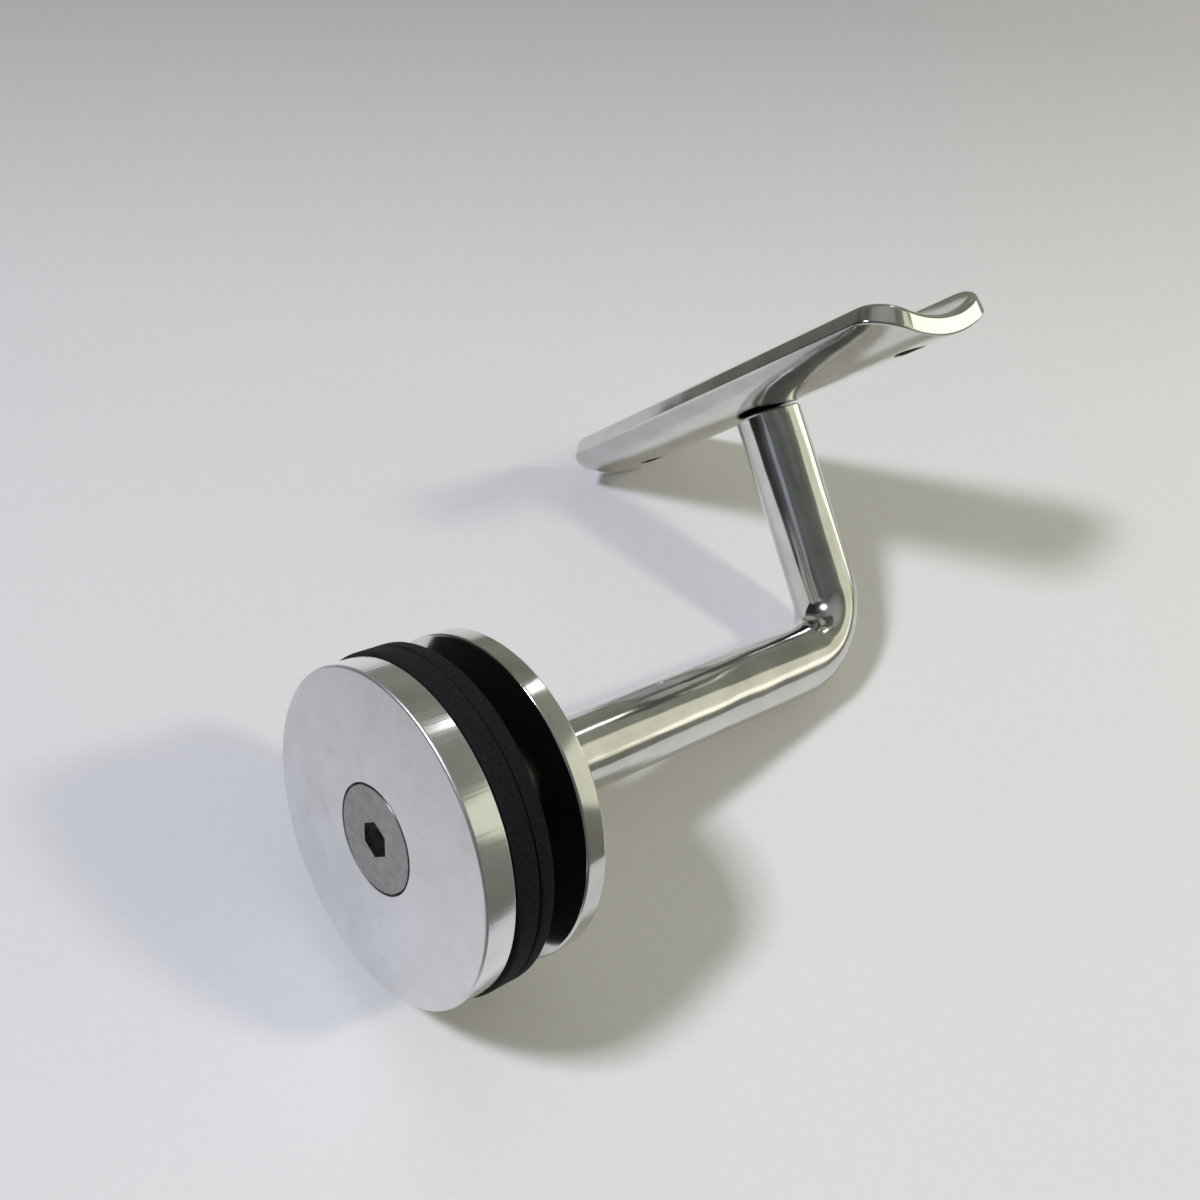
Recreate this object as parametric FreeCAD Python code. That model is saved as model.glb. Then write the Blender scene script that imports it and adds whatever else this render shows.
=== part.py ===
import FreeCAD, Part
import math
import os

# Handrail bracket that is clamped through a hole in a glass balustrade panel.
# Millimetres. The origin lies on the axis of the glass hole, on the front face of the rear disc.
# +X runs out of the glass along the arm, +Z runs up the riser towards the rail.

# The two turned steel discs that grip the glass
disc_diameter = 50.0
cap_thickness = 5.0
rear_disc_thickness = 3.5
disc_edge_chamfer = 0.4
closed_gap = 12.0

# Rubber gaskets, loose on the sleeve behind the front cap
gasket_diameter = 51.0
front_gasket_thickness = 3.5
rear_gasket_thickness = 2.5
gasket_edge_chamfer = 0.6
gasket_hole_clearance = 1.0

# Nylon sleeve that lines the hole in the glass
bush_diameter = 14.0
bush_screw_clearance = 0.2
bush_end_play = 0.2
bush_edge_chamfer = 0.5

# M8 countersunk socket screw through cap, sleeve and arm
clamp_thread = 8.0
clamp_head = 16.0
clamp_head_land = 0.5
clamp_socket_flats = 5.0
clamp_socket_depth = 3.0
clamp_screw_length = 35.0
clamp_head_gap = 0.3

# Bent round bar that carries the rail
bar_diameter = 12.7
arm_reach = 88.5
riser_height = 46.4
bend_radius = 10.0
spigot_diameter = 11.0
spigot_clearance = 0.02
bar_end_chamfer = 0.4
thread_clearance = 0.05
blind_thread_spare = 6.0

# Pressed saddle plate under the rail
rail_diameter = 50.8
saddle_length = 85.0
saddle_width = 34.0
saddle_thickness = 4.0
saddle_corner_radius = 6.0
saddle_top_chamfer = 1.2
saddle_under_chamfer = 0.3
saddle_lift = 0.2
rail_hole_spacing = 68.0
rail_hole_diameter = 5.5

# M5 countersunk socket screw that holds the saddle on the riser
saddle_thread = 5.0
saddle_head = 10.0
saddle_head_land = 0.2
saddle_head_sink = 0.1
saddle_socket_flats = 3.0
saddle_socket_depth = 1.6
saddle_screw_length = 16.0
saddle_head_gap = 0.15

# Common to both screws and to the drilled holes
screw_tip_chamfer = 0.6
countersink_half_angle = math.radians(45)
drill_half_angle = math.radians(59)

# Places worked out from the sizes above
cap_back_x = -closed_gap
cap_front_x = cap_back_x - cap_thickness
front_gasket_back_x = cap_back_x + front_gasket_thickness
clamp_tip_x = cap_front_x + clamp_screw_length
belly_z = riser_height + saddle_lift
cradle_z = belly_z + saddle_thickness
rail_axis_z = cradle_z + rail_diameter / 2
saddle_screw_top_z = cradle_z - saddle_head_sink

along_x = FreeCAD.Vector(1, 0, 0)
along_y = FreeCAD.Vector(0, 1, 0)
along_z = FreeCAD.Vector(0, 0, 1)


def turned(outline):
    """Solid of revolution about X from (x, radius) corners in order."""
    corners = [FreeCAD.Vector(x, 0, radius) for x, radius in outline]
    wire = Part.makePolygon(corners + corners[:1])
    return Part.Face(wire).revolve(FreeCAD.Vector(0, 0, 0), along_x, 360)


def disc(front_x, thickness, diameter, chamfer):
    """Flat round plate with both rims broken by a small chamfer."""
    radius = diameter / 2
    back_x = front_x + thickness
    outline = [
        (front_x, 0),
        (front_x, radius - chamfer),
        (front_x + chamfer, radius),
        (back_x - chamfer, radius),
        (back_x, radius - chamfer),
        (back_x, 0),
    ]
    return turned(outline)


def socket_screw(top_x, thread, head, land, length, flats, socket_depth, grow=0.0):
    """Countersunk socket screw with its head's top at top_x, pointing to +X.

    A grow above zero gives the same outline that much larger all round, open above the
    head and without the socket, to cut the hole that the screw lies in.
    """
    shank_r = thread / 2 + grow
    head_r = head / 2 + grow
    cone_height = (head_r - shank_r) / math.tan(countersink_half_angle)
    tip_x = top_x + length
    if grow:
        above_x = top_x - head_r
        return turned([
            (above_x, 0),
            (above_x, head_r),
            (top_x + land, head_r),
            (top_x + land + cone_height, shank_r),
            (tip_x, shank_r),
            (tip_x, 0),
        ])
    screw = turned([
        (top_x, 0),
        (top_x, head_r),
        (top_x + land, head_r),
        (top_x + land + cone_height, shank_r),
        (tip_x - screw_tip_chamfer, shank_r),
        (tip_x, shank_r - screw_tip_chamfer),
        (tip_x, 0),
    ])
    return screw.cut(hex_socket(top_x, flats, socket_depth))


def hex_socket(top_x, flats, depth):
    """Hexagon recess with a drilled cone at its bottom."""
    corner_r = flats / 2 / math.cos(math.radians(30))
    corners = []
    for step in range(7):
        angle = math.radians(60 * step)
        corners.append(FreeCAD.Vector(top_x, corner_r * math.sin(angle), corner_r * math.cos(angle)))
    prism = Part.Face(Part.makePolygon(corners)).extrude(along_x * depth)
    drill_r = flats / 2
    drill_tip = drill_r / math.tan(drill_half_angle)
    drill = Part.makeCone(drill_r, 0, drill_tip, FreeCAD.Vector(top_x + depth, 0, 0), along_x)
    return prism.fuse(drill)


def blind_hole(mouth, direction, diameter, depth):
    """Drilled hole from a mouth into the bar, with the drill's cone at its end."""
    radius = diameter / 2
    tip = radius / math.tan(drill_half_angle)
    hole = Part.makeCylinder(radius, depth, mouth, direction)
    return hole.fuse(Part.makeCone(radius, 0, tip, mouth + direction * depth, direction))


def stand_up(shape, x):
    """Turn a piece made along +X so that it points down -Z on the riser's axis."""
    turned_shape = shape.copy()
    turned_shape.rotate(FreeCAD.Vector(0, 0, 0), along_y, 90)
    turned_shape.translate(FreeCAD.Vector(x, 0, 0))
    return turned_shape


def make_clamp_screw(grow=0.0):
    return socket_screw(cap_front_x, clamp_thread, clamp_head, clamp_head_land, clamp_screw_length,
                        clamp_socket_flats, clamp_socket_depth, grow)


def make_front_cap():
    # Turned disc, countersunk so that the screw's head lies flush in its face
    cap = disc(cap_front_x, cap_thickness, disc_diameter, disc_edge_chamfer)
    return cap.cut(make_clamp_screw(clamp_head_gap))


def make_gasket(front_x, thickness):
    # Die-cut rubber ring with its outer edges eased
    ring = disc(front_x, thickness, gasket_diameter, min(gasket_edge_chamfer, thickness / 3))
    hole_r = bush_diameter / 2 + gasket_hole_clearance
    return ring.cut(Part.makeCylinder(hole_r, thickness, FreeCAD.Vector(front_x, 0, 0), along_x))


def make_glass_bush():
    # Plain sleeve that stands on the rear disc and stops just short of the cap
    length = closed_gap - bush_end_play
    sleeve = disc(-length, length, bush_diameter, bush_edge_chamfer)
    hole_r = clamp_thread / 2 + bush_screw_clearance
    hole = Part.makeCylinder(hole_r, length, FreeCAD.Vector(-length, 0, 0), along_x)
    return sleeve.cut(hole)


def make_rear_disc():
    # Turned disc, bored for the spigot on the end of the arm
    plate = disc(0, rear_disc_thickness, disc_diameter, disc_edge_chamfer)
    hole_r = spigot_diameter / 2 + spigot_clearance
    hole = Part.makeCylinder(hole_r, rear_disc_thickness, FreeCAD.Vector(0, 0, 0), along_x)
    return plate.cut(hole)


def make_arm():
    # Round bar: shouldered spigot in the rear disc, straight run, tight elbow, riser
    bar_r = bar_diameter / 2
    run_end = FreeCAD.Vector(arm_reach - bend_radius, 0, 0)
    riser_start = FreeCAD.Vector(arm_reach, 0, bend_radius)
    spigot = Part.makeCylinder(spigot_diameter / 2, rear_disc_thickness, FreeCAD.Vector(0, 0, 0), along_x)
    run_length = run_end.x - rear_disc_thickness
    run = Part.makeCylinder(bar_r, run_length, FreeCAD.Vector(rear_disc_thickness, 0, 0), along_x)
    section = Part.Face(Part.Wire(Part.makeCircle(bar_r, run_end, along_x)))
    bend_centre = run_end + along_z * bend_radius
    elbow = section.revolve(bend_centre, -along_y, 90)
    riser = Part.makeCylinder(bar_r, riser_height - bend_radius, riser_start, along_z)
    top_edges = [edge for edge in riser.Edges if edge.BoundBox.ZMin > riser_height - bar_end_chamfer / 2]
    riser = riser.makeChamfer(bar_end_chamfer, top_edges)
    arm = run.fuse([spigot, elbow, riser]).removeSplitter()

    clamp_depth = clamp_tip_x + blind_thread_spare
    clamp_hole = blind_hole(FreeCAD.Vector(0, 0, 0), along_x, clamp_thread + 2 * thread_clearance, clamp_depth)
    saddle_depth = riser_height - (saddle_screw_top_z - saddle_screw_length) + blind_thread_spare
    riser_end = FreeCAD.Vector(arm_reach, 0, riser_height)
    saddle_hole = blind_hole(riser_end, -along_z, saddle_thread + 2 * thread_clearance, saddle_depth)
    return arm.cut([clamp_hole, saddle_hole])


def make_saddle_screw(grow=0.0):
    screw = socket_screw(-saddle_screw_top_z, saddle_thread, saddle_head, saddle_head_land,
                         saddle_screw_length, saddle_socket_flats, saddle_socket_depth, grow)
    return stand_up(screw, arm_reach)


def pressed_plate(inner_r, outer_r):
    """Plate bent to the rail's curve, with its long edges square to the curve and its corners rounded."""
    rail_axis = FreeCAD.Vector(arm_reach, -saddle_length / 2, rail_axis_z)
    half_angle = math.asin(saddle_width / 2 / outer_r)

    def on_curve(radius, angle):
        return rail_axis + FreeCAD.Vector(radius * math.sin(angle), 0, -radius * math.cos(angle))

    under = Part.Arc(on_curve(outer_r, -half_angle), on_curve(outer_r, 0), on_curve(outer_r, half_angle))
    over = Part.Arc(on_curve(inner_r, half_angle), on_curve(inner_r, 0), on_curve(inner_r, -half_angle))
    far_side = Part.makeLine(on_curve(outer_r, half_angle), on_curve(inner_r, half_angle))
    near_side = Part.makeLine(on_curve(inner_r, -half_angle), on_curve(outer_r, -half_angle))
    section = Part.Face(Part.Wire([under.toShape(), far_side, over.toShape(), near_side]))
    plate = section.extrude(along_y * saddle_length)
    corners = [edge for edge in plate.Edges if math.isclose(edge.Length, saddle_thickness)]
    return plate.makeFillet(saddle_corner_radius, corners)


def ease_rim(plate, curve_radius, size):
    """Chamfer the plate's rim all round its curved face of the given radius."""
    rim_edges = []
    for face in plate.Faces:
        curved = isinstance(face.Surface, Part.Cylinder) and abs(face.Surface.Axis.dot(along_y)) > 0.5
        if curved and math.isclose(face.Surface.Radius, curve_radius):
            rim_edges.extend(face.Edges)
    return plate.makeChamfer(size, rim_edges)


def make_saddle():
    # Plate pressed to the rail's curve, its upper rim eased the most
    inner_r = rail_diameter / 2
    outer_r = inner_r + saddle_thickness
    plate = pressed_plate(inner_r, outer_r)
    plate = ease_rim(plate, inner_r, min(saddle_top_chamfer, saddle_thickness / 3))
    plate = ease_rim(plate, outer_r, min(saddle_under_chamfer, saddle_thickness / 3))

    hole_r = rail_hole_diameter / 2
    holes = [make_saddle_screw(saddle_head_gap)]
    for side in (-1, 1):
        foot = FreeCAD.Vector(arm_reach, side * rail_hole_spacing / 2, belly_z)
        holes.append(Part.makeCylinder(hole_r, saddle_thickness + hole_r, foot, along_z))
    return plate.cut(holes)


pieces = {
    "front_cap": make_front_cap(),
    "clamp_screw": make_clamp_screw(),
    "front_gasket": make_gasket(cap_back_x, front_gasket_thickness),
    "rear_gasket": make_gasket(front_gasket_back_x, rear_gasket_thickness),
    "glass_bush": make_glass_bush(),
    "rear_disc": make_rear_disc(),
    "arm": make_arm(),
    "saddle": make_saddle(),
    "saddle_screw": make_saddle_screw(),
}

os.makedirs("parts", exist_ok=True)
for name, shape in pieces.items():
    shape.exportStep(os.path.join("parts", name + ".step"))
    print(name, "solids", len(shape.Solids), "valid", shape.isValid(), "mm3", round(shape.Volume, 1))
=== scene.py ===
import math

import bmesh
import bpy
from mathutils import Matrix, Vector


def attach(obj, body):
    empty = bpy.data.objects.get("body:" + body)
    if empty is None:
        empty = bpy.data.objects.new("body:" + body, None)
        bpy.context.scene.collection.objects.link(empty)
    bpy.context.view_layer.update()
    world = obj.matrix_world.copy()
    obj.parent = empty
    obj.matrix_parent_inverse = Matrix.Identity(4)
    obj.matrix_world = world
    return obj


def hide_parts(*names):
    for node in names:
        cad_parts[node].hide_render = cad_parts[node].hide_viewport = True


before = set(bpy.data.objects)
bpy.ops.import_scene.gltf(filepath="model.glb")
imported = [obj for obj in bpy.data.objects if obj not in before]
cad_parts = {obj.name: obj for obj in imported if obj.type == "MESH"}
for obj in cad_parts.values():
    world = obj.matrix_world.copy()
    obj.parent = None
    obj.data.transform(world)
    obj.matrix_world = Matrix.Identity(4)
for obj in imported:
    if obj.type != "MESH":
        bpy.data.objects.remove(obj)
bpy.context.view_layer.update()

# Arm: a length of 12.7 mm round stainless bar, bent cold to a tight, flattened elbow and mirror polished.
# Its foot is turned down to a spigot for the rear disc, its top is faced square for the saddle.
# Both ends are drilled and tapped, for the clamp screw and for the saddle's screw.
MM = 0.001
MM_PER_METRE = 1000
# Points closer together than the weld become one, and a point this near to a place is taken to lie on it.
WELD = 0.002
NEAR = 0.01
BAR_RADIUS = 6.35
BAR_SIDES = 128
BAR_END_CHAMFER = 0.4
SPIGOT_RADIUS = 5.5
SPIGOT_LENGTH = 3.5
ARM_REACH = 88.5
RISER_TOP = 46.4
BEND_RADIUS = 10.0
BEND_INSIDE_RADIUS = 3.2
BEND_OUTSIDE_RADIUS = 21.0
BEND_STEPS = 48
CLAMP_HOLE_RADIUS = 4.05
CLAMP_HOLE_DEPTH = 24.0
SADDLE_HOLE_RADIUS = 2.55
SADDLE_HOLE_DEPTH = 17.9
# A 118 degree drill has a point this long for each millimetre of its radius.
DRILL_POINT = math.tan(math.radians(31))
# A ring shrunk to this share of its size is welded to a point.
POINT_SCALE = 1e-4


def mm(*lengths):
    """Millimetres to the scene's metres."""
    return tuple(length * MM for length in lengths)


def colour(code):
    """sRGB hex code to the linear colour that a shader takes."""
    channels = []
    for start in (1, 3, 5):
        value = int(code[start:start + 2], 16) / 255
        channels.append(value / 12.92 if value <= 0.04045 else ((value + 0.055) / 1.055) ** 2.4)
    return (*channels, 1.0)


def add_node(tree, kind, inputs=None, **settings):
    """Add a shader node, with its settings, and with its inputs set or linked."""
    node = tree.nodes.new(kind)
    for name, value in settings.items():
        setattr(node, name, value)
    for name, value in (inputs or {}).items():
        if isinstance(value, bpy.types.NodeSocket):
            tree.links.new(value, node.inputs[name])
        else:
            node.inputs[name].default_value = value
    return node


def set_shades(ramp, shades):
    """Give a colour ramp the hex colours that belong at its positions."""
    elements = ramp.color_ramp.elements
    while len(elements) < len(shades):
        elements.new(0.5)
    for element, (position, code) in zip(elements, shades.items()):
        element.position = position
        element.color = colour(code)


def pattern_scale(size):
    """Scale of a noise pattern whose marks are this many millimetres across."""
    return MM_PER_METRE / size


def new_material(name):
    """Empty material, its node tree, and the place of a point on the piece in metres."""
    material = bpy.data.materials.new(name)
    material.use_nodes = True
    tree = material.node_tree
    tree.nodes.clear()
    place = add_node(tree, "ShaderNodeTexCoord").outputs["Object"]
    return material, tree, place


def choose(piece):
    """Select one piece alone and make it the active one."""
    bpy.ops.object.select_all(action="DESELECT")
    piece.select_set(True)
    bpy.context.view_layer.objects.active = piece


def edit(piece):
    """Open one piece in edit mode with all its points selected."""
    choose(piece)
    bpy.ops.object.mode_set(mode="EDIT")
    bpy.ops.mesh.select_mode(type="VERT")
    bpy.ops.mesh.select_all(action="SELECT")


def pick_points(piece, belongs):
    """Select the points of the open piece whose place, in millimetres, passes the test."""
    bpy.ops.mesh.select_all(action="DESELECT")
    mesh = bmesh.from_edit_mesh(piece.data)
    for point in mesh.verts:
        point.select_set(belongs(point.co * MM_PER_METRE))
    mesh.select_flush(True)
    bmesh.update_edit_mesh(piece.data)


def next_ring(move=(0, 0, 0), scale=1.0, about=(0, 0, 0)):
    """Extrude the selected ring by a move, then scale the new ring about a point."""
    bpy.ops.mesh.extrude_region_move(TRANSFORM_OT_translate={"value": mm(*move)})
    if scale != 1.0:
        bpy.ops.transform.resize(value=(scale, scale, scale), center_override=mm(*about))


def close_up(piece):
    """Merge doubled points, turn all faces outwards and leave edit mode."""
    bpy.ops.mesh.select_all(action="SELECT")
    bpy.ops.mesh.remove_doubles(threshold=WELD * MM)
    bpy.ops.mesh.normals_make_consistent(inside=False)
    bpy.ops.object.mode_set(mode="OBJECT")


def apply_modifier(piece, kind, **settings):
    """Put one modifier on the piece and apply it at once."""
    choose(piece)
    modifier = piece.modifiers.new(kind.lower(), kind)
    for name, value in settings.items():
        setattr(modifier, name, value)
    bpy.ops.object.modifier_apply(modifier=modifier.name)


def shade(piece, sharp_degrees):
    """Smooth shading that keeps flat faces flat and breaks at edges sharper than the angle."""
    choose(piece)
    bpy.ops.object.shade_smooth_by_angle(angle=math.radians(sharp_degrees))
    apply_modifier(piece, "WEIGHTED_NORMAL", keep_sharp=True, weight=100)


def fit_piece(piece, name, material, node, body):
    """Name and finish a piece, and let it stand for its solid on the body that carries it."""
    piece.name = name
    piece.data.name = name
    piece.data.materials.clear()
    piece.data.materials.append(material)
    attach(piece, body)
    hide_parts(node)


def drill_end(mouth, inward, end_radius, hole_radius, hole_depth):
    """Drill into the bar's end ring: in to the hole's rim, down its wall and on to its point."""
    point_length = hole_radius * DRILL_POINT
    next_ring(scale=hole_radius / end_radius, about=mouth)
    next_ring([share * hole_depth for share in inward])
    tip = [start + share * (hole_depth + point_length) for start, share in zip(mouth, inward)]
    next_ring([share * point_length for share in inward], POINT_SCALE, tip)


def flatten_bend(arm):
    """Flatten the plain round elbow as a tight cold bend does: its outside takes a wider curve."""
    bend_x = ARM_REACH - BEND_RADIUS
    for point in arm.data.vertices:
        along, across, up = point.co * MM_PER_METRE
        if along > bend_x - NEAR and up < BEND_RADIUS + NEAR:
            inward = BEND_RADIUS - math.hypot(along - bend_x, up - BEND_RADIUS)
            turned = math.atan2(along - bend_x, BEND_RADIUS - up)
            share = (BAR_RADIUS + inward) / (2 * BAR_RADIUS)
            radius = BEND_OUTSIDE_RADIUS + share * (BEND_INSIDE_RADIUS - BEND_OUTSIDE_RADIUS)
            point.co = mm(ARM_REACH - inward - radius * (1 - math.sin(turned)), across,
                          inward + radius * (1 - math.cos(turned)))


def make_arm():
    """Extrude and spin the spigot's rim along the whole bar, drill both ends and flatten the bend."""
    bpy.ops.object.select_all(action="DESELECT")
    bpy.ops.mesh.primitive_circle_add(vertices=BAR_SIDES, radius=SPIGOT_RADIUS * MM,
                                      rotation=(0, math.pi / 2, 0))
    arm = bpy.context.object
    bpy.ops.object.transform_apply(location=True, rotation=True, scale=True)
    edit(arm)
    foot = (0, 0, 0)
    shoulder = (SPIGOT_LENGTH, 0, 0)
    top = (ARM_REACH, 0, RISER_TOP)
    end_radius = BAR_RADIUS - BAR_END_CHAMFER
    next_ring(shoulder)
    next_ring(scale=BAR_RADIUS / SPIGOT_RADIUS, about=shoulder)
    next_ring((ARM_REACH - BEND_RADIUS - SPIGOT_LENGTH, 0, 0))
    bend_centre = mm(ARM_REACH - BEND_RADIUS, 0, BEND_RADIUS)
    bpy.ops.mesh.spin(steps=BEND_STEPS, angle=math.pi / 2, center=bend_centre, axis=(0, 1, 0))
    next_ring((0, 0, RISER_TOP - BEND_RADIUS - BAR_END_CHAMFER))
    next_ring((0, 0, BAR_END_CHAMFER), end_radius / BAR_RADIUS, top)
    drill_end(top, (0, 0, -1), end_radius, SADDLE_HOLE_RADIUS, SADDLE_HOLE_DEPTH)
    pick_points(arm, lambda place: place.x < NEAR)
    drill_end(foot, (1, 0, 0), SPIGOT_RADIUS, CLAMP_HOLE_RADIUS, CLAMP_HOLE_DEPTH)
    close_up(arm)
    flatten_bend(arm)
    shade(arm, sharp_degrees=30)
    return arm


def polished_steel():
    """Stainless steel buffed on a mop: a near mirror, with slow waves and a thin haze left by the mop."""
    material, tree, place = new_material("mirror_polished_stainless")
    haze = add_node(tree, "ShaderNodeTexNoise", {"Vector": place, "Scale": pattern_scale(7), "Detail": 4.0})
    tone = add_node(tree, "ShaderNodeValToRGB", {"Fac": haze.outputs["Fac"]})
    set_shades(tone, {0.35: "#c8c7c3", 0.65: "#d5d4d2"})
    gloss = add_node(tree, "ShaderNodeMapRange", {
        "Value": haze.outputs["Fac"], "From Min": 0.3, "From Max": 0.7, "To Min": 0.08, "To Max": 0.15})
    waves = add_node(tree, "ShaderNodeTexNoise", {
        "Vector": place, "Scale": pattern_scale(12), "Detail": 1.0})
    scratches = add_node(tree, "ShaderNodeTexNoise", {
        "Vector": place, "Scale": pattern_scale(0.6), "Detail": 3.0})
    uneven = add_node(tree, "ShaderNodeBump", {"Height": waves.outputs["Fac"], "Distance": 0.2 * MM})
    scored = add_node(tree, "ShaderNodeBump", {
        "Height": scratches.outputs["Fac"], "Distance": 0.0012 * MM, "Normal": uneven.outputs["Normal"]})
    steel = add_node(tree, "ShaderNodeBsdfPrincipled", {
        "Base Color": tone.outputs["Color"], "Metallic": 1.0,
        "Roughness": gloss.outputs["Result"], "Normal": scored.outputs["Normal"]})
    add_node(tree, "ShaderNodeOutputMaterial", {"Surface": steel.outputs["BSDF"]})
    return material


mirror_steel = polished_steel()
fit_piece(make_arm(), "bent_bar_arm", mirror_steel, "arm", "bracket")

# Rear disc: a round plate parted off stainless bar, faced in the lathe and mirror polished.
# It is bored for the arm's spigot and pressed and welded to the shoulder behind it.
DISC_RADIUS = 25.0
DISC_BORE_RADIUS = 5.52
DISC_RIM_ROUND = 0.4
DISC_RIM_STEPS = 4
DISC_SIDES = 160
REAR_DISC = [(0, DISC_BORE_RADIUS), (0, DISC_RADIUS),
             (SPIGOT_LENGTH, DISC_RADIUS), (SPIGOT_LENGTH, DISC_BORE_RADIUS)]


def draw_profile(corners):
    """New piece, left open: a line through (x, radius) corners, drawn by extruding one point."""
    bpy.ops.object.select_all(action="DESELECT")
    bpy.ops.mesh.primitive_plane_add(size=MM)
    piece = bpy.context.object
    edit(piece)
    bpy.ops.mesh.merge(type="CENTER")
    last_x, last_radius = 0.0, 0.0
    for number, (x, radius) in enumerate(corners):
        step = mm(x - last_x, 0, radius - last_radius)
        if number == 0:
            bpy.ops.transform.translate(value=step)
        else:
            bpy.ops.mesh.extrude_vertices_move(TRANSFORM_OT_translate={"value": step})
        last_x, last_radius = x, radius
    return piece


def turn(corners, rounds, sides):
    """Turn a piece about X from its (x, radius) corners, after rounding some of them.

    A profile whose last corner repeats its first makes a ring.
    Each round has its size, its steps and the corners that it is for.
    """
    piece = draw_profile(corners)
    bpy.ops.mesh.select_all(action="SELECT")
    bpy.ops.mesh.remove_doubles(threshold=WELD * MM)
    for size, steps, rounded in rounds:
        spots = [Vector((x, 0, radius)) for x, radius in rounded]
        pick_points(piece, lambda place: any((place - spot).length < NEAR for spot in spots))
        bpy.ops.mesh.bevel(offset=size * MM, segments=steps, affect="VERTICES")
    bpy.ops.mesh.select_all(action="SELECT")
    bpy.ops.mesh.spin(steps=sides, angle=2 * math.pi, center=(0, 0, 0), axis=(1, 0, 0))
    close_up(piece)
    return piece


rear_disc = turn(REAR_DISC + REAR_DISC[:1], [(DISC_RIM_ROUND, DISC_RIM_STEPS, REAR_DISC[1:3])], DISC_SIDES)
shade(rear_disc, sharp_degrees=40)
fit_piece(rear_disc, "rear_clamp_disc", mirror_steel, "rear_disc", "bracket")

# Glass sleeve: a short tube of natural nylon, injection moulded, that stands on the rear disc.
# It lines the drilled hole in the glass, so that the screw never touches the panel.
SLEEVE_LENGTH = 11.8
SLEEVE_RADIUS = 7.0
SLEEVE_BORE_RADIUS = 4.2
SLEEVE_EDGE_ROUND = 0.5
SLEEVE_EDGE_STEPS = 4
SLEEVE_SIDES = 96
SLEEVE = [(-SLEEVE_LENGTH, SLEEVE_BORE_RADIUS), (-SLEEVE_LENGTH, SLEEVE_RADIUS),
          (0, SLEEVE_RADIUS), (0, SLEEVE_BORE_RADIUS)]


def natural_nylon():
    """Undyed nylon: milky, faintly yellow and a little see-through, with the mould's fine spark texture."""
    material, tree, place = new_material("natural_nylon")
    cloud = add_node(tree, "ShaderNodeTexNoise", {"Vector": place, "Scale": pattern_scale(4), "Detail": 3.0})
    tone = add_node(tree, "ShaderNodeValToRGB", {"Fac": cloud.outputs["Fac"]})
    set_shades(tone, {0.0: "#dcd7c8", 1.0: "#e9e5d9"})
    spark = add_node(tree, "ShaderNodeTexNoise", {
        "Vector": place, "Scale": pattern_scale(0.25), "Detail": 2.0})
    texture = add_node(tree, "ShaderNodeBump", {"Height": spark.outputs["Fac"], "Distance": 0.02 * MM})
    nylon = add_node(tree, "ShaderNodeBsdfPrincipled", {
        "Base Color": tone.outputs["Color"], "Roughness": 0.42, "IOR": 1.53, "Subsurface Weight": 0.25,
        "Subsurface Scale": 2 * MM, "Normal": texture.outputs["Normal"]})
    add_node(tree, "ShaderNodeOutputMaterial", {"Surface": nylon.outputs["BSDF"]})
    return material


sleeve = turn(SLEEVE + SLEEVE[:1], [(SLEEVE_EDGE_ROUND, SLEEVE_EDGE_STEPS, SLEEVE[1:3])], SLEEVE_SIDES)
shade(sleeve, sharp_degrees=40)
fit_piece(sleeve, "nylon_glass_sleeve", natural_nylon(), "glass_bush", "bracket")

# Rubber rings: two die-cut rings of black rubber sheet, a thin one for the glass and a thick one for the cap.
# They lie loose on the sleeve and stand half a millimetre proud of the discs all round.
RUBBER_RINGS = {
    "rear_rubber_ring": ("rear_gasket", -8.5, -6.0),
    "front_rubber_ring": ("front_gasket", -12.0, -8.5),
}
RING_HOLE_RADIUS = 8.0
RING_PROUD = 0.5
RING_RADIUS = DISC_RADIUS + RING_PROUD
RING_EDGE_ROUND = 0.6
RING_EDGE_STEPS = 5


def black_rubber():
    """Cut sheet rubber: dull near-black, a fine pebbled skin, and pale dust held in its pores."""
    material, tree, place = new_material("black_sheet_rubber")
    pores = add_node(tree, "ShaderNodeTexNoise", {
        "Vector": place, "Scale": pattern_scale(0.5), "Detail": 4.0, "Roughness": 0.65})
    tone = add_node(tree, "ShaderNodeValToRGB", {"Fac": pores.outputs["Fac"]})
    set_shades(tone, {0.4: "#0e0c10", 0.62: "#19181c", 0.74: "#2d2c31"})
    skin = add_node(tree, "ShaderNodeBump", {"Height": pores.outputs["Fac"], "Distance": 0.12 * MM})
    rubber = add_node(tree, "ShaderNodeBsdfPrincipled", {
        "Base Color": tone.outputs["Color"], "Roughness": 0.85, "IOR": 1.52, "Specular IOR Level": 0.25,
        "Normal": skin.outputs["Normal"]})
    add_node(tree, "ShaderNodeOutputMaterial", {"Surface": rubber.outputs["BSDF"]})
    return material


ring_rubber = black_rubber()
for ring_name, (node, front_x, back_x) in RUBBER_RINGS.items():
    outline = [(front_x, RING_HOLE_RADIUS), (front_x, RING_RADIUS),
               (back_x, RING_RADIUS), (back_x, RING_HOLE_RADIUS)]
    ring = turn(outline + outline[:1], [(RING_EDGE_ROUND, RING_EDGE_STEPS, outline[1:3])], DISC_SIDES)
    shade(ring, sharp_degrees=40)
    fit_piece(ring, ring_name, ring_rubber, node, "front_clamp")

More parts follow.
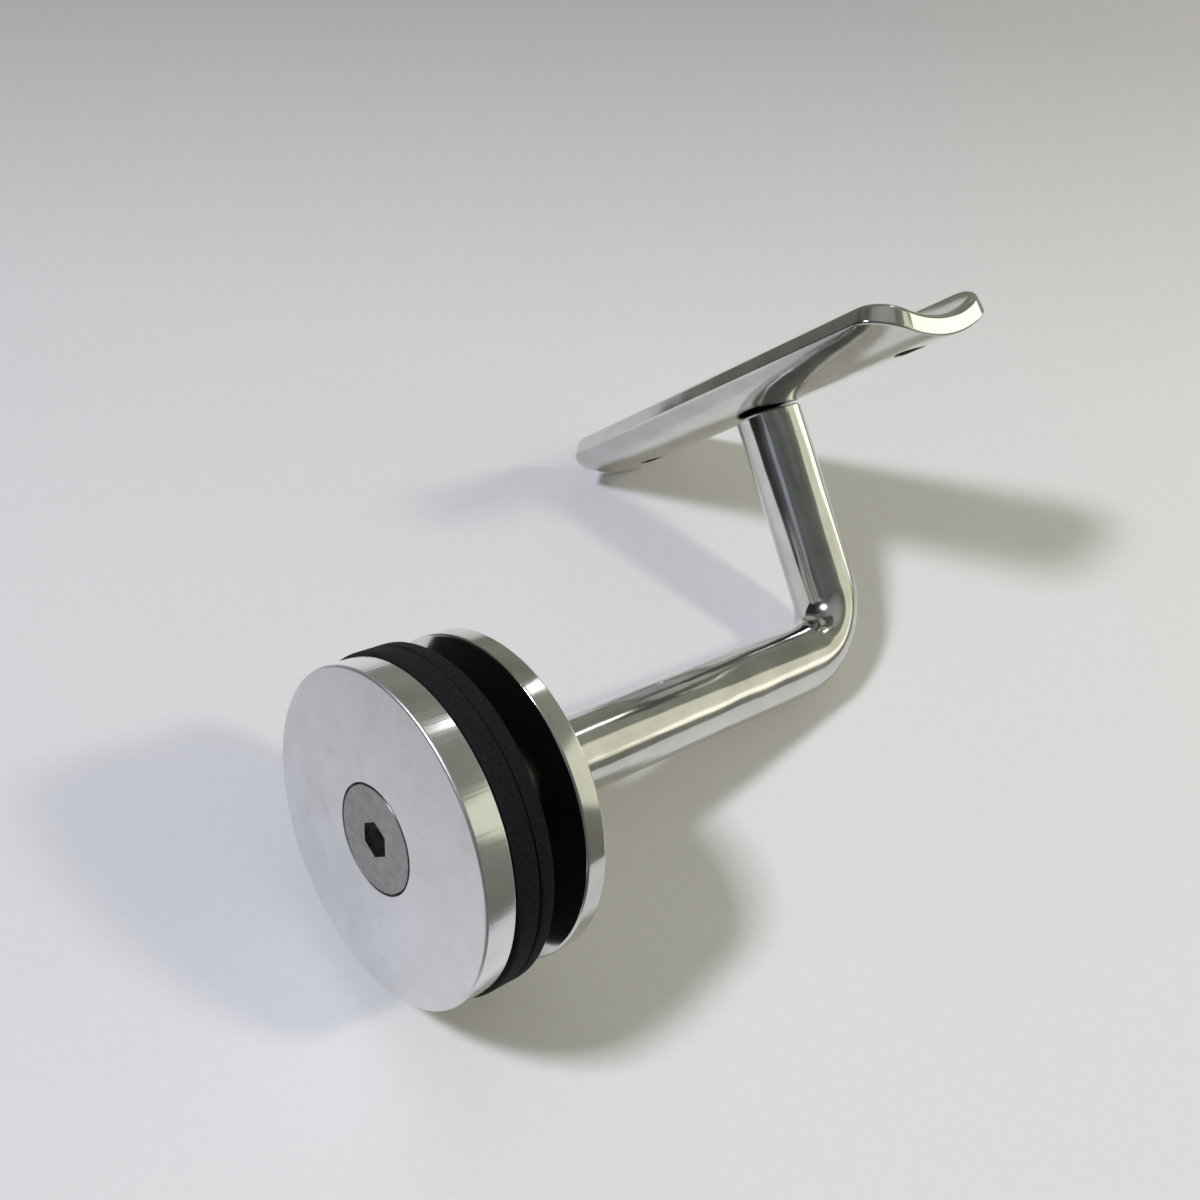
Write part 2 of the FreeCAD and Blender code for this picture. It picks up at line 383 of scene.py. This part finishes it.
# Front cap: a thicker stainless disc, turned from bar and countersunk in the middle for the clamp screw.
# Its face is left with a fine satin turning, its rim is polished, and it presses the rings on the glass.
CAP_FACE = -17.0
CAP_BACK = -12.0
CAP_HOLE_RADIUS = 4.3
CAP_SEAT_RADIUS = 8.3
CAP_SEAT_LAND = 0.5
CAP_SEAT_EASE = 0.12
CAP_SEAT_STEPS = 2
CAP = [(CAP_FACE, CAP_SEAT_RADIUS), (CAP_FACE, DISC_RADIUS), (CAP_BACK, DISC_RADIUS),
       (CAP_BACK, CAP_HOLE_RADIUS), (CAP_BACK - CAP_SEAT_LAND, CAP_HOLE_RADIUS),
       (CAP_FACE + CAP_SEAT_LAND, CAP_SEAT_RADIUS)]
# The satin of the face gives way to the rim's polish between these distances behind the face.
SATIN_END = (0.28, 0.45)
SATIN_ROUGHNESS = 0.34
POLISH_ROUGHNESS = 0.11
CLOUD_ROUGHNESS = 0.08
# The rim's polishing streaks set in between these distances from its edge, and lie about so far apart.
STREAK_START = (0.4, 0.1)
STREAK_SPACING = 1.2
# Tool rings lie about 0.1 mm apart on the real face; they are drawn coarser so that they show.
TOOL_RING_SPACING = 0.35


def turned_steel():
    """Stainless steel off the lathe: a satin face with faint rings and stains, and a streaky bright rim."""
    material, tree, place = new_material("fine_turned_stainless")
    split = add_node(tree, "ShaderNodeSeparateXYZ", {"Vector": place})
    flat = add_node(tree, "ShaderNodeCombineXYZ", {"Y": split.outputs["Y"], "Z": split.outputs["Z"]})
    radius = add_node(tree, "ShaderNodeVectorMath", {0: flat.outputs["Vector"]}, operation="LENGTH")
    rings = add_node(tree, "ShaderNodeTexNoise", {
        "W": radius.outputs["Value"], "Scale": pattern_scale(TOOL_RING_SPACING), "Detail": 2.0},
        noise_dimensions="1D")
    clouds = add_node(tree, "ShaderNodeTexNoise", {"Vector": place, "Scale": pattern_scale(9), "Detail": 5.0})
    tone = add_node(tree, "ShaderNodeValToRGB", {"Fac": clouds.outputs["Fac"]})
    set_shades(tone, {0.3: "#d4d4d5", 0.7: "#e2e2e4"})
    spots = add_node(tree, "ShaderNodeTexNoise", {
        "Vector": place, "Scale": pattern_scale(3.5), "Detail": 6.0, "Roughness": 0.7})
    stains = add_node(tree, "ShaderNodeValToRGB", {"Fac": spots.outputs["Fac"]})
    set_shades(stains, {0.54: "#ffffff", 0.72: "#f3f3f3"})
    stained = add_node(tree, "ShaderNodeVectorMath", {
        0: tone.outputs["Color"], 1: stains.outputs["Color"]}, operation="MULTIPLY")
    satin_end, polish_start = mm(*(CAP_FACE + distance for distance in SATIN_END))
    sheen = add_node(tree, "ShaderNodeMapRange", {
        "Value": split.outputs["X"], "From Min": satin_end, "From Max": polish_start,
        "To Min": SATIN_ROUGHNESS, "To Max": POLISH_ROUGHNESS})
    gloss = add_node(tree, "ShaderNodeMath", {
        0: clouds.outputs["Fac"], 1: CLOUD_ROUGHNESS, 2: sheen.outputs["Result"]}, operation="MULTIPLY_ADD")
    grooves = add_node(tree, "ShaderNodeBump", {"Height": rings.outputs["Fac"], "Distance": 0.004 * MM})
    streak_start, streak_full = mm(*(DISC_RADIUS - distance for distance in STREAK_START))
    on_rim = add_node(tree, "ShaderNodeMapRange", {
        "Value": radius.outputs["Value"], "From Min": streak_start, "From Max": streak_full})
    around = add_node(tree, "ShaderNodeMath", {
        0: split.outputs["Y"], 1: split.outputs["Z"]}, operation="ARCTAN2")
    streaks = add_node(tree, "ShaderNodeTexNoise", {
        "W": around.outputs["Value"], "Scale": DISC_RADIUS / STREAK_SPACING, "Detail": 4.0},
        noise_dimensions="1D")
    streaky = add_node(tree, "ShaderNodeBump", {
        "Height": streaks.outputs["Fac"], "Distance": 0.02 * MM, "Strength": on_rim.outputs["Result"],
        "Normal": grooves.outputs["Normal"]})
    steel = add_node(tree, "ShaderNodeBsdfPrincipled", {
        "Base Color": stained.outputs["Vector"], "Metallic": 1.0, "Roughness": gloss.outputs["Value"],
        "Normal": streaky.outputs["Normal"]})
    add_node(tree, "ShaderNodeOutputMaterial", {"Surface": steel.outputs["BSDF"]})
    return material


cap_rounds = [(DISC_RIM_ROUND, DISC_RIM_STEPS, CAP[1:3]), (CAP_SEAT_EASE, CAP_SEAT_STEPS, CAP[:1])]
cap = turn(CAP + CAP[:1], cap_rounds, DISC_SIDES)
shade(cap, sharp_degrees=40)
fit_piece(cap, "front_cap_disc", turned_steel(), "front_cap", "front_clamp")

# Clamp screw: an M8 countersunk socket screw, cold formed from stainless wire, with a rolled thread.
# It lies flush in the cap, runs through the sleeve and pulls the whole clamp on to the arm.
CLAMP_SCREW = {
    "top": CAP_FACE, "head": 8.0, "land": 0.5, "thread": 4.0, "pitch": 1.25, "length": 35.0, "neck": 3.0,
    "flats": 5.0, "socket": 3.0,
}
SCREW_SIDES = 96
HEAD_EDGE_ROUND = 0.2
HEAD_EDGE_STEPS = 3
HEXAGON_SIDES = 6
SOCKET_DRILL_SIDES = 48
SOCKET_DRILL_LAP = 0.4
SCREW_TIP_CHAMFER = 0.6
# Depth and crest of the thread are shares of its pitch.
THREAD_DEPTH = 0.613
THREAD_CREST = 0.125
THREAD_FLANK_DEGREES = 30
THREAD_STEPS = 40
# Spare turns are wound before and after the thread, and the saw cuts them off this closely.
TURNS_BEFORE = 2
TURNS_AFTER = 1
SAW_TOLERANCE = 0.0001
# The thread starts this far inside the neck, which runs out to a thinner core.
THREAD_LAP = 0.6
RUN_OUT = 0.5
CORE_SHARE = 0.75
# The form that trims the tip to its chamfer is this many times as wide as the thread, at either end.
FORM_WIDE = 1.2
FORM_CLOSE = 1.0001


def combine(piece, other, operation):
    """Cut, join or trim a piece with another one, which is then used up."""
    apply_modifier(piece, "BOOLEAN", object=other, operation=operation, solver="EXACT")
    bpy.data.objects.remove(other)


def make_thread(start, end, radius, pitch):
    """Threaded rod along X, from one pitch of its profile wound into a helix and sawn off square."""
    core = radius - THREAD_DEPTH * pitch
    flank = (radius - core) * math.tan(math.radians(THREAD_FLANK_DEGREES))
    crest = THREAD_CREST * pitch
    root = pitch - crest - 2 * flank
    first = start - TURNS_BEFORE * pitch
    rod = draw_profile([(first, core), (first + root, core), (first + root + flank, radius),
                        (first + root + flank + crest, radius), (first + pitch, core)])
    bpy.ops.object.mode_set(mode="OBJECT")
    turns = math.ceil((end - start) / pitch) + TURNS_BEFORE + TURNS_AFTER
    apply_modifier(rod, "SCREW", axis="X", angle=2 * math.pi, screw_offset=pitch * MM, iterations=turns,
                   steps=THREAD_STEPS, render_steps=THREAD_STEPS,
                   use_merge_vertices=True, merge_threshold=WELD * MM)
    for x, side in ((start, -1), (end, 1)):
        edit(rod)
        bpy.ops.mesh.remove_doubles(threshold=WELD * MM)
        bpy.ops.mesh.bisect(plane_co=mm(x, 0, 0), plane_no=(side, 0, 0), use_fill=True, clear_outer=True,
                            threshold=SAW_TOLERANCE * MM)
        close_up(rod)
    return rod


def socket_screw(top, head, land, thread, pitch, length, neck, flats, socket):
    """Countersunk screw along +X with its head's top at top; all sizes in millimetres."""
    tip = top + length
    under_head = top + land + head - thread
    neck_end = under_head + neck
    screw = turn([(top, 0), (top, head), (top + land, head), (under_head, thread), (neck_end, thread),
                  (neck_end + RUN_OUT, thread * CORE_SHARE), (neck_end + RUN_OUT, 0)],
                 [(HEAD_EDGE_ROUND, HEAD_EDGE_STEPS, [(top, head)])], SCREW_SIDES)
    rod = make_thread(neck_end - THREAD_LAP, tip, thread, pitch)
    tip_form = turn([(under_head, 0), (under_head, thread * FORM_WIDE),
                     (tip - SCREW_TIP_CHAMFER, thread * FORM_CLOSE),
                     (tip, thread - SCREW_TIP_CHAMFER), (tip, 0)], [], THREAD_STEPS)
    combine(rod, tip_form, "INTERSECT")
    combine(screw, rod, "UNION")
    corner_radius = flats / 2 / math.cos(math.pi / HEXAGON_SIDES)
    bpy.ops.object.select_all(action="DESELECT")
    bpy.ops.mesh.primitive_cylinder_add(vertices=HEXAGON_SIDES, radius=corner_radius * MM,
                                        depth=2 * socket * MM, location=mm(top, 0, 0),
                                        rotation=(0, math.pi / 2, 0))
    combine(screw, bpy.context.object, "DIFFERENCE")
    bottom = top + socket
    drill = turn([(bottom - SOCKET_DRILL_LAP, 0), (bottom - SOCKET_DRILL_LAP, flats / 2),
                  (bottom, flats / 2), (bottom + flats / 2 * DRILL_POINT, 0)], [], SOCKET_DRILL_SIDES)
    combine(screw, drill, "DIFFERENCE")
    return screw


def screw_steel():
    """Cold-formed stainless: a slightly grey, soft sheen with the forming die's fine marks."""
    material, tree, place = new_material("cold_formed_stainless")
    marks = add_node(tree, "ShaderNodeTexNoise", {
        "Vector": place, "Scale": pattern_scale(1.5), "Detail": 5.0})
    tone = add_node(tree, "ShaderNodeValToRGB", {"Fac": marks.outputs["Fac"]})
    set_shades(tone, {0.3: "#868583", 0.7: "#9a9997"})
    gloss = add_node(tree, "ShaderNodeMapRange", {
        "Value": marks.outputs["Fac"], "To Min": 0.2, "To Max": 0.38})
    dents = add_node(tree, "ShaderNodeBump", {"Height": marks.outputs["Fac"], "Distance": 0.01 * MM})
    steel = add_node(tree, "ShaderNodeBsdfPrincipled", {
        "Base Color": tone.outputs["Color"], "Metallic": 1.0, "Roughness": gloss.outputs["Result"],
        "Normal": dents.outputs["Normal"]})
    add_node(tree, "ShaderNodeOutputMaterial", {"Surface": steel.outputs["BSDF"]})
    return material


formed_steel = screw_steel()
clamp_screw = socket_screw(**CLAMP_SCREW)
shade(clamp_screw, sharp_degrees=28)
fit_piece(clamp_screw, "m8_clamp_screw", formed_steel, "clamp_screw", "screw")

# Rail saddle: a 4 mm stainless blank with round corners, pressed to the curve of a 50.8 mm rail and polished.
# Two plain holes take the rail's screws, and a countersunk one in the middle takes the screw into the riser.
RAIL_RADIUS = 25.4
SADDLE_WIDTH = 34.0
SADDLE_LENGTH = 85.0
SADDLE_THICKNESS = 4.0
SADDLE_CLEARANCE = 0.2
SADDLE_CORNER = 6.0
SADDLE_CORNER_STEPS = 14
SADDLE_TOP_ROUND = 1.3
SADDLE_UNDER_ROUND = 0.4
SADDLE_RIM_STEPS = 5
RAIL_HOLE_RADIUS = 2.75
RAIL_HOLE_OFFSET = 34.0
RAIL_HOLE_SIDES = 64
RAIL_HOLE_EASE = 0.2
RAIL_HOLE_EASE_STEPS = 3
RAIL_HOLE_EDGE_DEGREES = 60
SCREW_SUNK = 0.1
SEAT_HEAD_RADIUS = 5.15
SEAT_HOLE_RADIUS = 2.65
SEAT_LAND = 0.2
SEAT_DRILL_REACH = 8.0
SEAT_SIDES = 96
PRESS_STEP = 0.8
# Pressing shortens the top of the blank and stretches its underside, so the flat blank lies between the two.
UNDER_RADIUS = RAIL_RADIUS + SADDLE_THICKNESS
UNDER_HALF = SADDLE_WIDTH / 2
OVER_HALF = UNDER_HALF * RAIL_RADIUS / UNDER_RADIUS
BLANK_HALF = (UNDER_HALF + OVER_HALF) / 2
SADDLE_BELLY = RISER_TOP + SADDLE_CLEARANCE
# The saddle's screw and its seat are made head first along +X, and stood on the riser with X pointing down.
SADDLE_SCREW_TOP = -(SADDLE_BELLY + SADDLE_THICKNESS - SCREW_SUNK)


def stand_on_riser(piece):
    """Turn a piece made along +X so that it points down the riser's axis."""
    choose(piece)
    piece.rotation_euler = (0, math.pi / 2, 0)
    piece.location = mm(ARM_REACH, 0, 0)
    bpy.ops.object.transform_apply(location=True, rotation=True, scale=True)


def make_blank():
    """Flat blank with round corners, eased rims and two drilled holes, cut into strips for the press."""
    bpy.ops.object.select_all(action="DESELECT")
    bpy.ops.mesh.primitive_plane_add(size=1.0)
    plate = bpy.context.object
    edit(plate)
    bpy.ops.transform.resize(value=mm(2 * BLANK_HALF, SADDLE_LENGTH, 1))
    bpy.ops.mesh.bevel(offset=SADDLE_CORNER * MM, segments=SADDLE_CORNER_STEPS, affect="VERTICES")
    bpy.ops.mesh.select_all(action="SELECT")
    bpy.ops.mesh.extrude_region_move(TRANSFORM_OT_translate={"value": mm(0, 0, SADDLE_THICKNESS)})
    bpy.ops.mesh.select_all(action="SELECT")
    bpy.ops.mesh.normals_make_consistent(inside=False)
    for rim_height, rim_round in ((SADDLE_THICKNESS, SADDLE_TOP_ROUND), (0, SADDLE_UNDER_ROUND)):
        pick_points(plate, lambda place: abs(place.z - rim_height) < NEAR)
        bpy.ops.mesh.bevel(offset=rim_round * MM, segments=SADDLE_RIM_STEPS)
    bpy.ops.object.mode_set(mode="OBJECT")
    for side in (-1, 1):
        bpy.ops.object.select_all(action="DESELECT")
        bpy.ops.mesh.primitive_cylinder_add(
            vertices=RAIL_HOLE_SIDES, radius=RAIL_HOLE_RADIUS * MM, depth=4 * SADDLE_THICKNESS * MM,
            location=mm(0, side * RAIL_HOLE_OFFSET, SADDLE_THICKNESS / 2))
        combine(plate, bpy.context.object, "DIFFERENCE")
    edit(plate)
    bpy.ops.mesh.select_all(action="DESELECT")
    bpy.ops.mesh.select_mode(type="EDGE")
    bpy.ops.mesh.edges_select_sharp(sharpness=math.radians(RAIL_HOLE_EDGE_DEGREES))
    bpy.ops.mesh.bevel(offset=RAIL_HOLE_EASE * MM, segments=RAIL_HOLE_EASE_STEPS)
    cuts = int(2 * BLANK_HALF / PRESS_STEP)
    for number in range(1, cuts + 1):
        bpy.ops.mesh.select_all(action="SELECT")
        across = -BLANK_HALF + number * 2 * BLANK_HALF / (cuts + 1)
        bpy.ops.mesh.bisect(plane_co=mm(across, 0, 0), plane_no=(1, 0, 0))
    close_up(plate)
    return plate


def press(plate):
    """Bend the flat blank: its top to the rail's curve, its underside to that curve plus the thickness.

    Its long edges come out square to the curve, and the holes near its middle line stay upright.
    """
    axis_height = SADDLE_BELLY + UNDER_RADIUS
    for point in plate.data.vertices:
        across, along, up = point.co * MM_PER_METRE
        edge_share = (across / BLANK_HALF) ** 2
        over_x = across * (1 + edge_share * (OVER_HALF / BLANK_HALF - 1))
        under_x = across * (1 + edge_share * (UNDER_HALF / BLANK_HALF - 1))
        over_z = axis_height - math.sqrt(RAIL_RADIUS ** 2 - over_x ** 2)
        under_z = axis_height - math.sqrt(UNDER_RADIUS ** 2 - under_x ** 2)
        share = up / SADDLE_THICKNESS
        point.co = mm(ARM_REACH + under_x + share * (over_x - under_x), along,
                      under_z + share * (over_z - under_z))


def make_saddle():
    """Press the blank and sink the countersunk seat of its own screw in the middle."""
    plate = make_blank()
    press(plate)
    land_end = SADDLE_SCREW_TOP + SEAT_LAND
    above, below = SADDLE_SCREW_TOP - SEAT_DRILL_REACH, SADDLE_SCREW_TOP + SEAT_DRILL_REACH
    drill = turn([(above, 0), (above, SEAT_HEAD_RADIUS), (land_end, SEAT_HEAD_RADIUS),
                  (land_end + SEAT_HEAD_RADIUS - SEAT_HOLE_RADIUS, SEAT_HOLE_RADIUS),
                  (below, SEAT_HOLE_RADIUS), (below, 0)], [], SEAT_SIDES)
    stand_on_riser(drill)
    combine(plate, drill, "DIFFERENCE")
    shade(plate, sharp_degrees=40)
    return plate


fit_piece(make_saddle(), "rail_saddle_plate", mirror_steel, "saddle", "rail_saddle")

# Saddle screw: an M5 countersunk socket screw, cold formed like the clamp screw, sunk below the cradle.
# It is driven into the riser's tapped end, and the saddle turns on it until the rail holds both.
SADDLE_SCREW = {
    "top": SADDLE_SCREW_TOP, "head": 5.0, "land": 0.2, "thread": 2.5, "pitch": 0.8, "length": 16.0,
    "neck": 1.2, "flats": 3.0, "socket": 1.6,
}
saddle_screw = socket_screw(**SADDLE_SCREW)
stand_on_riser(saddle_screw)
shade(saddle_screw, sharp_degrees=28)
fit_piece(saddle_screw, "m5_saddle_screw", formed_steel, "saddle_screw", "bracket")

# Floor: a sheet of pale matte paper, on which the bracket lies on its rear disc, elbow and saddle end.
# Its near side is cut away where the steel mirrors the dim room instead of paper.
# It is seen from above only, so that it never hides the bracket from a camera behind it.
FLOOR_UP = Vector((-0.2341, -0.7593, 0.6072)).normalized()
FLOOR_DEPTH = -25.15
PICTURE_RIGHT = Vector((0.7631, -0.5305, -0.3691))
PICTURE_MIDDLE = Vector((60.9, 31.7, 21.8))
FLOOR_CORNERS = ((-170, -330), (-60, -330), (-88, -122), (95, -122), (268, 390), (-340, 370), (-116, -92))
# Each painted shade has its axis on the floor, its start and end in millimetres from the middle, and its
# shades.
# Painted shade on the paper: greyer towards its far end and its left, for the lens's darker corners and the
# lamps' falloff.
FAR_PAINTED_SHADE = ((0, 1, 0), 80, 300, {0.0: "#ffffff", 1.0: "#e8e5e6"})
LEFT_PAINTED_SHADE = ((0.927, -0.375, 0), -250, 120, {0.0: "#d7d7d8", 1.0: "#ffffff"})


def floor_frame():
    """Matrix from the floor's own axes (right, away, up) to the scene, about the middle of the picture."""
    right = (PICTURE_RIGHT - PICTURE_RIGHT.dot(FLOOR_UP) * FLOOR_UP).normalized()
    away = FLOOR_UP.cross(right)
    middle = PICTURE_MIDDLE + (FLOOR_DEPTH - PICTURE_MIDDLE.dot(FLOOR_UP)) * FLOOR_UP
    axes = Matrix((right, away, FLOOR_UP)).transposed().to_4x4()
    return Matrix.Translation(middle * MM) @ axes


def ramp_along(tree, place, axis, start, end, shades):
    """Colours along an axis: position 0 of the shades lies at start on it and position 1 at end."""
    along = add_node(tree, "ShaderNodeVectorMath", {0: place, 1: tuple(axis)}, operation="DOT_PRODUCT")
    share = add_node(tree, "ShaderNodeMapRange", {
        "Value": along.outputs["Value"], "From Min": start, "From Max": end})
    ramp = add_node(tree, "ShaderNodeValToRGB", {"Fac": share.outputs["Result"]})
    set_shades(ramp, shades)
    return ramp.outputs["Color"]


def pale_paper(to_floor):
    """Matte paper with a soft tooth, and painted shade that only the camera sees: a little greyer at its far
    end and its left.
    """
    material, tree, place = new_material("pale_matte_paper")
    tooth = add_node(tree, "ShaderNodeTexNoise", {
        "Vector": place, "Scale": pattern_scale(1.2), "Detail": 3.0})
    tone = add_node(tree, "ShaderNodeValToRGB", {"Fac": tooth.outputs["Fac"]})
    set_shades(tone, {0.0: "#e7e7e9", 1.0: "#ececee"})
    ramps = []
    for floor_axis, start, end, shades in (FAR_PAINTED_SHADE, LEFT_PAINTED_SHADE):
        axis = to_floor.to_3x3() @ Vector(floor_axis)
        middle = to_floor.translation.dot(axis)
        ramps.append(ramp_along(tree, place, axis, middle + start * MM, middle + end * MM, shades))
    painted_shade = add_node(tree, "ShaderNodeVectorMath", {0: ramps[0], 1: ramps[1]}, operation="MULTIPLY")
    # The painted shade stands for the lens's darker corners and the lamps' falloff; the steel doesn't mirror
    # it, so only the camera sees it.
    # Sockets 6 and 7 of the mix are its two colours, and its third output is the mixed one.
    sight = add_node(tree, "ShaderNodeLightPath").outputs["Is Camera Ray"]
    seen = add_node(tree, "ShaderNodeMix", {
        0: sight, 6: colour("#ffffff"), 7: painted_shade.outputs["Vector"]}, data_type="RGBA")
    shaded_paper = add_node(tree, "ShaderNodeVectorMath", {
        0: tone.outputs["Color"], 1: seen.outputs[2]}, operation="MULTIPLY")
    paper = add_node(tree, "ShaderNodeBsdfPrincipled", {
        "Base Color": shaded_paper.outputs["Vector"], "Roughness": 0.9, "Specular IOR Level": 0.1})
    clear = add_node(tree, "ShaderNodeBsdfTransparent")
    side = add_node(tree, "ShaderNodeNewGeometry")
    one_sided = add_node(tree, "ShaderNodeMixShader", {
        0: side.outputs["Backfacing"], 1: paper.outputs["BSDF"], 2: clear.outputs["BSDF"]})
    add_node(tree, "ShaderNodeOutputMaterial", {"Surface": one_sided.outputs["Shader"]})
    return material


to_floor = floor_frame()
bpy.ops.object.select_all(action="DESELECT")
bpy.ops.mesh.primitive_circle_add(vertices=len(FLOOR_CORNERS), fill_type="NGON")
sheet = bpy.context.object
sheet.name = "paper_floor"
for point, (right, away) in zip(sheet.data.vertices, FLOOR_CORNERS):
    point.co = to_floor @ Vector(mm(right, away, 0))
edit(sheet)
close_up(sheet)
if sheet.data.polygons[0].normal.dot(FLOOR_UP) < 0:
    sheet.data.flip_normals()
sheet.data.materials.append(pale_paper(to_floor))

# Light: a cool lamp high on the left and a weaker warm one on the right, among windows and a lit wall.
# Each has its turn (0 is away from the camera, 90 to the right) and height in degrees over the floor,
# its distance and size in millimetres, watts and colour. The steel mirrors all of them but the warm lamp.
LAMPS = {
    "left_lamp": (-107, 54, 800, (110, 110), 4.2, "#f1f4ff"),
    "left_window": (-140, 30, 900, (170, 200), 0.035, "#dce6ff"),
    "right_lamp": (103, 43, 1400, (150, 150), 5.2, "#fbf4d6"),
    "right_wall": (89, 24, 800, (490, 490), 0.5, "#fafce2"),
    "right_window": (91, 10, 800, (290, 140), 0.09, "#fdfef2"),
    "far_window": (63, 11, 800, (220, 320), 0.36, "#fcfdee"),
    "far_lamp": (30, 41, 800, (70, 190), 0.12, "#ffffff"),
}
UNMIRRORED_LAMP = "right_lamp"

for lamp_name, (turn_degrees, height_degrees, distance, size, watts, tint) in LAMPS.items():
    turned, raised = math.radians(turn_degrees), math.radians(height_degrees)
    level = math.cos(raised)
    outward = Vector((math.sin(turned) * level, math.cos(turned) * level, math.sin(raised)))
    lamp = bpy.data.lights.new(lamp_name, "AREA")
    lamp.shape = "RECTANGLE"
    lamp.size, lamp.size_y = mm(*size)
    lamp.energy = watts
    lamp.color = colour(tint)[:3]
    holder = bpy.data.objects.new(lamp_name, lamp)
    bpy.context.scene.collection.objects.link(holder)
    aim = outward.to_track_quat("Z", "Y").to_matrix().to_4x4()
    holder.matrix_world = to_floor @ Matrix.Translation(outward * distance * MM) @ aim
    holder.visible_glossy = lamp_name != UNMIRRORED_LAMP

# Room: a dim room round the table, bluish and darker behind the camera and to its left, paler overhead.
# Heights run from straight below the floor, 0, over its level, 0.5, to straight above it, 1.
# Sides run in the same way to the lit side, and the dark corner's shades to the corner at the left.
ROOM_HEIGHTS = {
    0.0: "#cbcccd", 0.27: "#bcbcbc", 0.31: "#8c8b84", 0.5: "#93918a", 0.59: "#9a9992", 0.73: "#888780",
    0.82: "#a0a099", 0.9: "#888882", 0.96: "#c0c0bc", 1.0: "#d4d4d0",
}
LIT_SIDE = (0.707, 0.707, 0.0)
ROOM_SIDES = {0.0: "#a2a7b4", 0.5: "#c4c5c5", 1.0: "#fdfdf2"}
DARK_CORNER = (-0.951, 0.0, 0.309)
DARK_CORNER_SHADES = {0.9: "#ffffff", 0.94: "#7c7c7c"}

room = bpy.data.worlds.new("dim_room")
room.use_nodes = True
bpy.context.scene.world = room
tree = room.node_tree
tree.nodes.clear()
sight = add_node(tree, "ShaderNodeTexCoord").outputs["Generated"]
heights = ramp_along(tree, sight, FLOOR_UP, -1, 1, ROOM_HEIGHTS)
sides = ramp_along(tree, sight, to_floor.to_3x3() @ Vector(LIT_SIDE), -1, 1, ROOM_SIDES)
corner = ramp_along(tree, sight, to_floor.to_3x3() @ Vector(DARK_CORNER), -1, 1, DARK_CORNER_SHADES)
walls = add_node(tree, "ShaderNodeVectorMath", {0: heights, 1: sides}, operation="MULTIPLY")
tones = add_node(tree, "ShaderNodeVectorMath", {
    0: walls.outputs["Vector"], 1: corner}, operation="MULTIPLY")
glow = add_node(tree, "ShaderNodeBackground", {"Color": tones.outputs["Vector"]})
add_node(tree, "ShaderNodeOutputWorld", {"Surface": glow.outputs["Background"]})

# Camera: a phone held close in front of the cap and rolled a little, for a square picture.
# Its place is in millimetres, and its axes are its right, its up and the way from the bracket back to it.
CAMERA_AT = (-96.78, -157.80, 23.51)
CAMERA_AXES = ((0.73222, -0.61195, -0.29894), (0.23414, -0.18599, 0.95425), (-0.63955, -0.76871, 0.0071))
SENSOR_WIDTH = 36.0
FOCAL_LENGTH = 37.47
NEAREST_SEEN = 5.0

lens = bpy.data.cameras.new("phone")
lens.sensor_width = SENSOR_WIDTH
lens.lens = FOCAL_LENGTH
lens.clip_start = NEAREST_SEEN * MM
camera = bpy.data.objects.new("phone", lens)
bpy.context.scene.collection.objects.link(camera)
camera.matrix_world = Matrix.Translation(mm(*CAMERA_AT)) @ Matrix(CAMERA_AXES).transposed().to_4x4()
bpy.context.scene.camera = camera
bpy.context.scene.view_settings.view_transform = "Standard"
